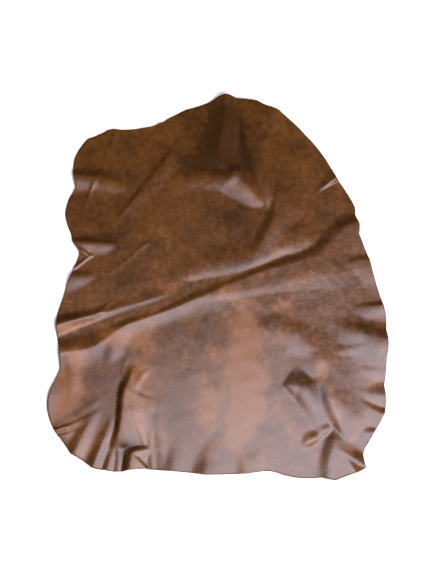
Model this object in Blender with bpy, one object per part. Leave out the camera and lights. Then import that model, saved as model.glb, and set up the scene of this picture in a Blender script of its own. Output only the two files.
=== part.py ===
"""A whole small leather hide (goat or lamb), lying grain side up on a flat surface.

Run it with: blender --background --python part.py

The hide is one cut piece, so it is one solid. Its outline is a chain of arcs round the neck, the
forelegs, the flanks and the hind legs. Its folds are a table of ridges that stand up from the
surface, and the leather between them lies flat.
Frame: metres, +Z up, the neck towards +Y, the origin on the resting surface under the middle.
"""

import bpy
import numpy as np

MM = 0.001

# ---------------------------------------------------------------- driving sizes
THICKNESS = 1.4 * MM
GRID_STEPS = 190  # squares across the fine sheet, before it is reduced
SHEET_FACES = 4400  # triangles that are kept on each side of the leather
ARC_STEP = 4.0 * MM  # spacing of the points along the cut edge
SMOOTH_HARMONICS = 4  # waves in the rounded outline, which fades in evenly from the middle out
LOBE_FADE = 3  # power by which the small lobes of the edge fade in
TOUCHING = 0.15 * MM  # lower points than this rest on the surface
STATION_STEPS = 10  # straight pieces of a crest from one station to the next

# ---------------------------------------------------------------- cut edge
# Clockwise from the left of the neck. bulge is how far the arc to the next row stands out from
# its chord, and is negative where the edge is hollow. All in millimetres.
OUTLINE = (
    # x, y, bulge
    # neck
    (-13, 527, 1),
    (10, 542, 1),
    (26, 544, 1),
    (48, 535, 0),
    (105, 529, -1),
    (157, 501, 3),
    # right shoulder and foreleg side
    (226, 425, 6),
    (297, 302, 2),
    (338, 222, 1),
    (338, 199, -1),
    (346, 175, 1),
    (344, 145, 0),
    # right flank
    (365, 77, -1.5),
    (388, -30, 4),
    (392, -102, 4),
    (388, -167, 1),
    (378, -235, 3),
    # right hind leg
    (375, -298, 1),
    (327, -375, -1),
    (321, -391, -1),
    (325, -421, 1),
    (302, -431, 0),
    (257, -448, 1),
    # rump
    (227, -441, 5),
    (140, -434, -1),
    (113, -427, -1),
    (70, -433, 0),
    (-25, -436, 0),
    (-56, -431, 0),
    (-157, -423, -1),
    (-200, -428, 2),
    # left hind leg
    (-245, -425, 1),
    (-272, -420, 0),
    (-293, -404, 0),
    (-320, -389, -1),
    (-351, -348, 4),
    (-377, -290, 3),
    (-373, -239, 0),
    # left flank
    (-356, -196, -2),
    (-365, -126, 2),
    (-371, -63, 0),
    (-349, 26, 0),
    # left foreleg
    (-326, 98, 1),
    (-346, 125, 0),
    (-352, 149, 2),
    (-369, 200, 2),
    (-360, 249, 0),
    (-346, 274, 0),
    (-357, 323, 1),
    (-355, 359, 3),
    (-325, 415, -2),
    (-275, 441, 2),
    # left shoulder
    (-250, 442, -1),
    (-207, 443, 0),
    (-163, 452, 0),
    (-136, 464, -1),
    (-128, 472, 0),
    (-77, 502, -2),
)

# ---------------------------------------------------------------- folds
# How a flank falls from the crest (share 0 of its width) to its foot (share 1):
# (1 - share ** crest) ** foot. A low crest power is a sharp crest, a low foot power a hard foot.
FLANKS = {
    "soft": (2.0, 3.0),
    "rolled": (1.6, 2.4),
    "pinched": (1.15, 2.6),
    "creased": (1.3, 1.0),
    "shelf": (3.0, 1.6),
    "long": (1.2, 2.2),
}

# Each fold is a row of stations along its crest, with the crest's height there and the widths of
# the flanks to its left and right, as one walks along it. All in millimetres.
FOLDS = (
    # name, left flank, right flank, stations of x, y, rise, left, right
    ("neck_ridge", "soft", "pinched", (
        (26, 590, 10, 60, 64),
        (24, 520, 10, 60, 64),
        (19, 460, 9.5, 60, 64),
        (9, 410, 9, 60, 66),
        (4, 380, 9, 60, 72),
        (8, 352, 9, 56, 80),
        (24, 328, 9, 44, 80),
        (44, 311, 8.6, 28, 62),
        (66, 290, 7.6, 22, 52),
        (88, 264, 6, 20, 44),
        (106, 242, 4, 16, 34),
        (118, 224, 0, 12, 12),
    )),
    ("neck_side", "soft", "rolled", (
        (62, 590, 4, 90, 20),
        (66, 500, 5, 90, 22),
        (73, 450, 6, 90, 24),
        (78, 400, 7, 90, 28),
        (88, 355, 8.5, 90, 33),
        (102, 315, 9.5, 84, 37),
        (114, 280, 9, 70, 36),
        (122, 250, 7, 50, 30),
        (128, 222, 3.5, 26, 20),
        (132, 204, 0, 14, 12),
    )),
    ("neck_right", "soft", "soft", (
        (150, 560, 4, 44, 36),
        (144, 480, 3, 44, 36),
        (136, 430, 0, 20, 20),
    )),
    ("yoke_left", "soft", "soft", (
        (-136, 296, 0, 30, 40),
        (-80, 302, 3, 46, 60),
        (-45, 304, 4.6, 44, 66),
        (-15, 303, 6, 42, 66),
        (15, 305, 8, 38, 66),
        (40, 310, 9.6, 34, 70),
        (58, 307, 8, 34, 60),
        (76, 300, 4, 26, 40),
        (90, 294, 0, 14, 14),
    )),
    ("shoulder", "soft", "rolled", (
        (138, 420, 0, 30, 14),
        (146, 350, 3, 80, 22),
        (150, 300, 5, 90, 24),
        (150, 258, 6.5, 90, 26),
        (142, 200, 7.5, 84, 28),
        (124, 152, 7.5, 70, 28),
        (105, 118, 5, 56, 28),
        (86, 94, 2.2, 30, 20),
        (76, 84, 0, 14, 12),
    )),
    ("main_swell", "soft", "shelf", (
        (-110, 32, 0, 40, 20),
        (-80, 46, 1.6, 50, 30),
        (-50, 56, 2.4, 54, 34),
        (0, 68, 2.8, 56, 36),
        (50, 79, 3, 56, 36),
        (100, 95, 3.4, 56, 33),
        (130, 116, 4.4, 56, 40),
        (155, 134, 4.8, 56, 46),
        (200, 152, 4.2, 50, 50),
        (232, 164, 2, 34, 36),
        (252, 172, 0, 20, 16),
    )),
    ("main_fold", "rolled", "long", (
        (-410, -172, 9, 30, 70),
        (-380, -160, 8, 29, 64),
        (-350, -142, 7, 27, 58),
        (-300, -119, 6, 23, 56),
        (-250, -101, 5, 20, 46),
        (-200, -83, 4.5, 17, 42),
        (-150, -67, 4, 15, 40),
        (-100, -47, 4, 17, 44),
        (-50, -24, 4.2, 20, 60),
        (0, -2, 4.8, 24, 80),
        (50, 19, 5, 22, 100),
        (100, 40, 5, 23, 120),
        (150, 58, 5.6, 28, 130),
        (200, 70, 6.6, 38, 140),
        (250, 86, 8, 52, 140),
        (300, 118, 9.5, 62, 150),
        (350, 162, 11.5, 58, 160),
        (390, 198, 12.5, 50, 160),
    )),
    ("flank_fold", "rolled", "rolled", (
        (-410, -104, 11, 36, 34),
        (-375, -93, 9, 33, 32),
        (-350, -84, 8, 29, 30),
        (-325, -76, 7, 25, 26),
        (-300, -69, 6, 22, 22),
        (-275, -61, 4, 18, 20),
        (-250, -54, 2.2, 18, 18),
        (-225, -45, 1.6, 20, 16),
        (-200, -38, 1.4, 24, 15),
        (-160, -25, 1.3, 24, 14),
        (-130, -14, 0.8, 20, 12),
        (-105, -2, 0, 14, 10),
    )),
    ("flank_bend", "soft", "soft", (
        (-182, -90, 0, 20, 10),
        (-212, -96, 1.2, 26, 26),
        (-236, -118, 1.8, 28, 46),
        (-244, -150, 1.6, 28, 50),
        (-240, -184, 0, 16, 16),
    )),
    ("foreleg_upper", "rolled", "soft", (
        (-390, 306, 12, 32, 62),
        (-350, 303, 10, 30, 60),
        (-300, 298, 7, 26, 54),
        (-250, 287, 4, 22, 44),
        (-205, 272, 0, 14, 20),
    )),
    ("foreleg_lower", "rolled", "soft", (
        (-390, 124, 13, 26, 38),
        (-340, 122, 11, 24, 34),
        (-300, 121, 9, 24, 31),
        (-270, 120, 7, 22, 29),
        (-252, 120, 3, 18, 20),
        (-236, 122, 0, 10, 10),
    )),
    ("belly_nick", "soft", "soft", (
        (-390, 30, 6, 22, 60),
        (-345, 34, 5, 20, 54),
        (-312, 38, 2.5, 16, 40),
        (-285, 42, 0, 10, 12),
    )),
    ("right_nick", "rolled", "soft", (
        (240, 258, 0, 8, 6),
        (258, 271, 2, 18, 8),
        (282, 289, 4.5, 30, 10),
        (320, 316, 8, 44, 16),
    )),
    ("right_roll", "rolled", "soft", (
        (298, 58, 0, 14, 24),
        (322, 66, 3, 24, 50),
        (350, 68, 6, 28, 70),
        (410, 64, 10, 30, 80),
    )),
    ("right_flank", "rolled", "soft", (
        (318, -46, 0, 12, 14),
        (346, -43, 1.8, 14, 40),
        (400, -38, 3.8, 16, 50),
    )),
    ("right_fold", "rolled", "soft", (
        (276, -82, 0, 18, 12),
        (305, -93, 1.8, 30, 50),
        (345, -108, 4.4, 34, 70),
        (385, -120, 7.4, 34, 80),
        (425, -130, 9.4, 34, 80),
    )),
    ("right_haunch", "soft", "soft", (
        (322, -195, 0, 12, 14),
        (352, -198, 1.3, 22, 30),
        (420, -200, 3.6, 26, 40),
    )),
    ("right_hock", "soft", "soft", (
        (322, -244, 0, 12, 14),
        (348, -255, 2, 32, 30),
        (378, -260, 4.2, 42, 36),
        (410, -262, 5.6, 44, 36),
    )),
    ("right_tuck", "rolled", "soft", (
        (306, -261, 0, 10, 20),
        (326, -274, 1.2, 14, 40),
        (346, -288, 3, 18, 50),
        (370, -301, 4.8, 22, 60),
        (400, -309, 6.4, 24, 60),
    )),
    ("right_toe", "soft", "soft", (
        (310, -340, 0, 12, 16),
        (331, -344, 2.4, 22, 40),
        (390, -347, 6, 26, 40),
    )),
    ("hip_swell", "soft", "soft", (
        (78, -88, 0, 24, 30),
        (112, -94, 1.4, 44, 60),
        (150, -100, 2.2, 50, 76),
        (186, -112, 3, 46, 74),
        (208, -132, 3, 40, 60),
        (224, -160, 2.2, 32, 40),
        (234, -186, 1.2, 22, 30),
        (240, -206, 0, 12, 14),
    )),
    ("hip_knot", "soft", "soft", (
        (200, -376, 0, 14, 12),
        (213, -366, 2.2, 26, 14),
        (226, -355, 2.4, 25, 14),
        (240, -343, 2.2, 18, 12),
        (252, -333, 1.4, 14, 12),
        (262, -325, 0, 10, 10),
    )),
    ("hip_heel", "soft", "rolled", (
        (264, -336, 0, 14, 12),
        (266, -354, 4.8, 44, 33),
        (264, -376, 7.6, 64, 36),
        (256, -397, 7, 80, 35),
        (251, -416, 6.2, 90, 34),
        (252, -470, 6.4, 90, 36),
    )),
    ("hind_corner", "rolled", "soft", (
        (258, -372, 0, 10, 10),
        (272, -385, 4.4, 28, 18),
        (296, -401, 6.6, 30, 22),
        (319, -415, 8, 32, 28),
        (350, -434, 9.6, 34, 30),
    )),
    ("thigh_ridge", "soft", "rolled", (
        (-196, -150, 0, 14, 10),
        (-198, -190, 1.6, 30, 14),
        (-202, -230, 4, 52, 20),
        (-206, -265, 6, 76, 22),
        (-210, -300, 7.5, 96, 23),
        (-214, -330, 8.2, 96, 23),
        (-219, -352, 8, 86, 22),
        (-223, -372, 5, 50, 18),
        (-224, -394, 0, 14, 12),
    )),
    ("leg_tuck", "soft", "pinched", (
        (-142, -387, 0, 10, 10),
        (-158, -390, 4.5, 36, 18),
        (-172, -392, 7, 64, 20),
        (-182, -397, 8, 84, 21),
        (-184, -410, 8.5, 100, 21),
        (-187, -430, 8.5, 100, 22),
        (-192, -465, 8.5, 100, 22),
    )),
    ("fan_outer", "soft", "rolled", (
        (-258, -286, 0, 14, 10),
        (-280, -316, 1.6, 26, 20),
        (-293, -342, 2.6, 30, 24),
        (-303, -366, 3.4, 30, 26),
        (-313, -394, 4.4, 30, 26),
        (-327, -440, 6, 32, 28),
    )),
    ("fan_middle", "soft", "rolled", (
        (-231, -300, 0, 12, 10),
        (-238, -328, 1.4, 20, 18),
        (-246, -350, 2.2, 22, 20),
        (-254, -372, 3, 24, 22),
        (-262, -394, 3.8, 24, 22),
        (-274, -440, 5.5, 26, 24),
    )),
    ("fan_inner", "soft", "soft", (
        (-224, -368, 0, 12, 10),
        (-229, -390, 1.4, 16, 12),
        (-235, -410, 2.4, 20, 14),
        (-242, -440, 4, 22, 16),
    )),
    ("fan_tip", "soft", "soft", (
        (-222, -360, 0, 10, 8),
        (-216, -378, 2, 10, 12),
        (-214, -402, 2.5, 8, 12),
        (-216, -440, 3, 8, 12),
    )),
    ("rump_fold", "soft", "soft", (
        (-80, -352, 0, 20, 12),
        (-87, -378, 0.8, 40, 24),
        (-91, -402, 2, 46, 30),
        (-95, -425, 3.4, 46, 32),
        (-98, -450, 4.6, 46, 32),
    )),
    ("rump_middle", "soft", "soft", (
        (4, -346, 0, 24, 16),
        (-3, -372, 1, 60, 34),
        (-10, -394, 2.4, 66, 38),
        (-17, -416, 4, 66, 40),
        (-24, -450, 6.4, 66, 42),
    )),
    ("rump_right", "soft", "soft", (
        (60, -366, 0, 24, 16),
        (62, -390, 1.2, 46, 26),
        (66, -412, 2.4, 50, 32),
        (68, -460, 4.6, 50, 36),
    )),
    ("back_roll", "soft", "soft", (
        (-106, 410, 0, 20, 12),
        (-134, 356, 2, 50, 22),
        (-158, 318, 2.6, 50, 22),
        (-182, 280, 2, 50, 22),
        (-214, 234, 1.2, 34, 20),
        (-250, 180, 0, 14, 10),
    )),
    ("hip_east", "soft", "rolled", (
        (234, -146, 0, 40, 30),
        (241, -182, 1, 80, 60),
        (247, -216, 2.2, 100, 56),
        (251, -246, 4, 112, 36),
        (257, -270, 5.8, 120, 31),
        (266, -300, 6.6, 120, 30),
        (278, -337, 5.2, 96, 24),
        (288, -368, 0, 16, 12),
    )),
    ("hip_bump", "rolled", "soft", (
        (150, -228, 0, 18, 12),
        (162, -234, 3, 42, 20),
        (180, -242, 4.8, 54, 44),
        (203, -244, 5, 56, 100),
        (218, -238, 3.8, 48, 100),
        (238, -226, 1.6, 40, 60),
        (256, -210, 0, 12, 12),
    )),
)
JOIN = 3.0  # folds that cross share their height: the sum of their powers, not of their heights
SETTLE = 0.4  # what the weight of the leather takes off every fold, so low rises lie flat

LEATHER_BROWN = (0.115, 0.046, 0.018, 1.0)
LEATHER_ROUGHNESS = 0.45


def edge_points():
    """The cut edge as points along its arcs, in metres."""
    rows = np.array(OUTLINE, float) * MM
    points = []
    for (x0, y0, bulge), (x1, y1, _) in zip(rows, np.roll(rows, -1, axis=0), strict=True):
        chord = np.array([x1 - x0, y1 - y0])
        length = np.hypot(*chord)
        outwards = np.array([-chord[1], chord[0]]) / length
        share = np.arange(0, 1, 1 / max(2, round(length / ARC_STEP)))[:, None]
        points.append([x0, y0] + share * chord + 4 * bulge * share * (1 - share) * outwards)
    return np.concatenate(points)


def edge_radius(edge, bearings, harmonics=None):
    """How far the edge is from the middle at each bearing, rounded to a few waves if asked."""
    around = np.linspace(-np.pi, np.pi, 2048, endpoint=False)
    order = np.argsort(np.arctan2(edge[:, 1], edge[:, 0]))
    at = np.arctan2(edge[order, 1], edge[order, 0])
    radius = np.interp(around, at, np.hypot(*edge[order].T), period=2 * np.pi)
    if harmonics is not None:
        waves = np.fft.rfft(radius)
        waves[harmonics + 1 :] = 0
        radius = np.fft.irfft(waves, len(radius))
    return np.interp(bearings, around, radius, period=2 * np.pi)


def plan_grid(edge, steps):
    """A square grid pressed into the outline: each square ring of it becomes one ring of the hide."""
    a, b = np.meshgrid(np.linspace(-1, 1, steps + 1), np.linspace(-1, 1, steps + 1))
    wide = np.abs(a) > np.abs(b)
    ring = np.where(wide, a, b)
    share = np.divide(np.where(wide, b, a), ring, out=np.zeros_like(a), where=ring != 0)
    turn = np.where(wide, share, 2 - share) * np.pi / 4
    x, y = ring * np.cos(turn), ring * np.sin(turn)
    bearing, out = np.arctan2(y, x), np.abs(ring)
    even = edge_radius(edge, bearing, 0)
    rounded = edge_radius(edge, bearing, SMOOTH_HARMONICS)
    lobes = edge_radius(edge, bearing) - rounded
    radius = out * (even + (rounded - even) * out + lobes * out**LOBE_FADE)
    return radius * np.cos(bearing), radius * np.sin(bearing)


def along_crest(stations):
    """The stations of a fold joined by a smooth curve, as rows of x, y, rise, left, right."""
    rows = np.array(stations, float)
    rows = np.vstack([2 * rows[0] - rows[1], rows, 2 * rows[-1] - rows[-2]])
    share = np.linspace(0, 1, STATION_STEPS, endpoint=False)[:, None]
    curve = []
    for before, start, end, after in zip(rows, rows[1:], rows[2:], rows[3:]):
        way_in, way_out = (end - before) / 2, (after - start) / 2
        curve.append(
            start
            + share * way_in
            + share**2 * (3 * (end - start) - 2 * way_in - way_out)
            + share**3 * (2 * (start - end) + way_in + way_out)
        )
    return np.concatenate([*curve, rows[-2:-1]])


def fold_height(x, y, fold):
    """The height that one fold gives the points x, y, all in millimetres."""
    _, left_flank, right_flank, stations = fold
    curve = along_crest(stations)
    nearest = np.full(x.shape, np.inf)
    height = np.zeros(x.shape)
    for here, there in zip(curve, curve[1:]):
        run = (there - here)[:2]
        share = np.clip(((x - here[0]) * run[0] + (y - here[1]) * run[1]) / (run @ run), 0, 1)
        rise, left, right = (here[k] + share * (there[k] - here[k]) for k in (2, 3, 4))
        off_x, off_y = x - here[0] - share * run[0], y - here[1] - share * run[1]
        distance = np.hypot(off_x, off_y)
        on_left = run[0] * off_y > run[1] * off_x
        across = np.clip(distance / np.where(on_left, left, right), 0, 1)
        fall = [(1 - across**crest) ** foot for crest, foot in (FLANKS[left_flank], FLANKS[right_flank])]
        height = np.where(distance < nearest, np.clip(rise, 0, None) * np.where(on_left, *fall), height)
        nearest = np.minimum(nearest, distance)
    return height


def relief(x, y):
    """The height of the leather's lower face over the points x, y, all in millimetres."""
    joined = sum(fold_height(x, y, fold) ** JOIN for fold in FOLDS) ** (1 / JOIN)
    return np.clip(joined - SETTLE, 0, None)


def fine_sheet():
    """The lower face of the hide as one open sheet of small squares."""
    x, y = plan_grid(edge_points(), GRID_STEPS)
    rise = relief(x / MM, y / MM) * MM
    x = x - (x.min() + x.max()) / 2
    y = y - (y.min() + y.max()) / 2
    index = np.arange(x.size).reshape(x.shape)
    corners = (index[:-1, :-1], index[:-1, 1:], index[1:, 1:], index[1:, :-1])
    mesh = bpy.data.meshes.new("fine_sheet")
    mesh.from_pydata(
        np.stack([x, y, rise], axis=-1).reshape(-1, 3).tolist(),
        [],
        np.stack(corners, axis=-1).reshape(-1, 4).tolist(),
    )
    return mesh


def reduced(mesh, faces):
    """The sheet with only the faces that its folds need, flat again where it touches the surface."""
    helper = bpy.data.objects.new("helper", mesh)
    bpy.context.scene.collection.objects.link(helper)
    reduce = helper.modifiers.new("reduce", "DECIMATE")
    reduce.ratio = faces / (2 * len(mesh.polygons))
    bpy.context.view_layer.update()
    shaped = helper.evaluated_get(bpy.context.evaluated_depsgraph_get())
    sheet = bpy.data.meshes.new_from_object(shaped)
    bpy.data.objects.remove(helper)
    for vertex in sheet.vertices:
        if vertex.co.z < TOUCHING:
            vertex.co.z = 0
    return sheet


def leather():
    """Brown grain leather with a waxed face."""
    material = bpy.data.materials.new("leather")
    material.use_nodes = True
    shader = material.node_tree.nodes["Principled BSDF"]
    shader.inputs["Base Color"].default_value = LEATHER_BROWN
    shader.inputs["Roughness"].default_value = LEATHER_ROUGHNESS
    shader.inputs["Metallic"].default_value = 0.0
    return material


def build_hide():
    """The hide: the reduced sheet, thickened upwards from its lower face."""
    mesh = reduced(fine_sheet(), SHEET_FACES)
    mesh.materials.append(leather())
    mesh.shade_smooth()
    hide = bpy.data.objects.new("hide", mesh)
    bpy.context.scene.collection.objects.link(hide)
    wall = hide.modifiers.new("wall", "SOLIDIFY")
    wall.thickness = THICKNESS
    wall.offset = 1.0
    return hide


for leftover in list(bpy.data.objects):
    bpy.data.objects.remove(leftover)
build_hide()
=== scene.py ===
"""The looks of a small leather hide: one waxed brown skin, spread grain side up on a pale floor."""

import math

import bpy
import numpy as np
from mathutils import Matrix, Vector


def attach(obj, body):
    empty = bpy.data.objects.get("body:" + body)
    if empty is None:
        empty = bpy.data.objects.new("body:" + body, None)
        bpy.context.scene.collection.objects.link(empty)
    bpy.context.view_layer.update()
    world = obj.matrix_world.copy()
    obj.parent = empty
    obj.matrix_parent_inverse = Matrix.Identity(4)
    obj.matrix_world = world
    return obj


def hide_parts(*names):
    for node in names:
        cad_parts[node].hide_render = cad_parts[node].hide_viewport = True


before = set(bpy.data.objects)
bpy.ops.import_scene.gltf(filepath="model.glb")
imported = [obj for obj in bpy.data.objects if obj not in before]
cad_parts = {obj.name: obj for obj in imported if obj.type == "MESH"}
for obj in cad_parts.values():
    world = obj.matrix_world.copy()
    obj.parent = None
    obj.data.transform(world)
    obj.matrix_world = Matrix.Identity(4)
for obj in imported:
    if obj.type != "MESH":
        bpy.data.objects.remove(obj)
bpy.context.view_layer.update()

# ======================================================================== the cut edge
# A whole goat or lamb skin, trimmed once round with a knife. The neck is at the top, the two
# forelegs and hind legs make the lobes of the sides, and the trimming leaves shallow scallops.

MM = 0.001

# Clockwise from the left of the neck. bulge is how far the arc to the next row stands out from
# its chord, and is negative where the edge is hollow. All in millimetres.
OUTLINE = (
    # x, y, bulge
    # neck
    (-13, 527, 1),
    (10, 542, 1),
    (26, 544, 1),
    (48, 535, 0),
    (105, 529, -1),
    (157, 501, 3),
    # right shoulder and foreleg side
    (226, 425, 6),
    (297, 302, 2),
    (338, 222, 1),
    (338, 199, -1),
    (346, 175, 1),
    (344, 145, 0),
    # right flank
    (365, 77, -1.5),
    (388, -30, 4),
    (392, -102, 4),
    (388, -167, 1),
    (378, -235, 3),
    # right hind leg
    (375, -298, 1),
    (327, -375, -1),
    (321, -391, -1),
    (325, -421, 1),
    (302, -431, 0),
    (257, -448, 1),
    # rump
    (227, -441, 5),
    (140, -434, -1),
    (113, -427, -1),
    (70, -433, 0),
    (-25, -436, 0),
    (-56, -431, 0),
    (-157, -423, -1),
    (-200, -428, 2),
    # left hind leg
    (-245, -425, 1),
    (-272, -420, 0),
    (-293, -404, 0),
    (-320, -389, -1),
    (-351, -348, 4),
    (-377, -290, 3),
    (-373, -239, 0),
    # left flank
    (-356, -196, -2),
    (-365, -126, 2),
    (-371, -63, 0),
    (-349, 26, 0),
    # left foreleg
    (-326, 98, 1),
    (-346, 125, 0),
    (-352, 149, 2),
    (-369, 200, 2),
    (-360, 249, 0),
    (-346, 274, 0),
    (-357, 323, 1),
    (-355, 359, 3),
    (-325, 415, -2),
    (-275, 441, 2),
    # left shoulder
    (-250, 442, -1),
    (-207, 443, 0),
    (-163, 452, 0),
    (-136, 464, -1),
    (-128, 472, 0),
    (-77, 502, -2),
)

ARC_STEP = 3.0 * MM  # between points along the cut edge
BEARINGS = 4096  # at which the edge's distance from the middle is worked out
EVEN_WAVES = 4  # waves round the rounded outline, which leaves out the small lobes
LOBE_FADE = 3  # power by which the small lobes fade in from the middle to the edge


def edge_points():
    """The cut edge as points along its arcs: chord plus bulge times a parabola, in metres."""
    rows = np.array(OUTLINE, float) * MM
    points = []
    for (x0, y0, bulge), (x1, y1, _) in zip(rows, np.roll(rows, -1, axis=0), strict=True):
        chord = np.array([x1 - x0, y1 - y0])
        length = np.hypot(*chord)
        outwards = np.array([-chord[1], chord[0]]) / length
        share = np.arange(0, 1, 1 / max(2, round(length / ARC_STEP)))[:, None]
        points.append([x0, y0] + share * chord + 4 * bulge * share * (1 - share) * outwards)
    return np.concatenate(points)


def edge_radius(edge, bearings, waves=None):
    """How far the edge is from the middle at each bearing, kept to its first few waves if asked."""
    around = np.linspace(-np.pi, np.pi, BEARINGS, endpoint=False)
    order = np.argsort(np.arctan2(edge[:, 1], edge[:, 0]))
    at = np.arctan2(edge[order, 1], edge[order, 0])
    radius = np.interp(around, at, np.hypot(*edge[order].T), period=2 * np.pi)
    if waves is not None:
        spectrum = np.fft.rfft(radius)
        spectrum[waves + 1 :] = 0
        radius = np.fft.irfft(spectrum, len(radius))
    return np.interp(bearings, around, radius, period=2 * np.pi)


def plan_grid(edge, steps):
    """A square grid pressed into the outline: each square ring of it becomes one ring of the hide.
    It is a circle near the middle, then the rounded outline, and at the edge the whole outline."""
    a, b = np.meshgrid(np.linspace(-1, 1, steps + 1), np.linspace(-1, 1, steps + 1))
    wide = np.abs(a) > np.abs(b)
    ring = np.where(wide, a, b)
    share = np.divide(np.where(wide, b, a), ring, out=np.zeros_like(a), where=ring != 0)
    turn = np.where(wide, share, 2 - share) * np.pi / 4
    x, y = ring * np.cos(turn), ring * np.sin(turn)
    bearing, out = np.arctan2(y, x), np.abs(ring)
    even = edge_radius(edge, bearing, 0)
    rounded = edge_radius(edge, bearing, EVEN_WAVES)
    lobes = edge_radius(edge, bearing) - rounded
    radius = out * (even + (rounded - even) * out + lobes * out**LOBE_FADE)
    return radius * np.cos(bearing), radius * np.sin(bearing)


# ======================================================================== the folds
# The leather was rolled for storage, so it lies in one long fold from side to side, a raised
# ridge down the neck, puckers round the legs and short rolls along the cut edge.

# How a flank falls from the crest (share 0 of its width) to its foot (share 1):
# (1 - share ** crest) ** foot. A low crest power is a sharp crest, a low foot power a hard foot.
FLANKS = {
    "soft": (2.0, 3.0),
    "rolled": (1.6, 2.4),
    "pinched": (1.15, 2.6),
    "creased": (1.3, 1.0),
    "shelf": (3.0, 1.6),
    "long": (1.2, 2.2),
}

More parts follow.
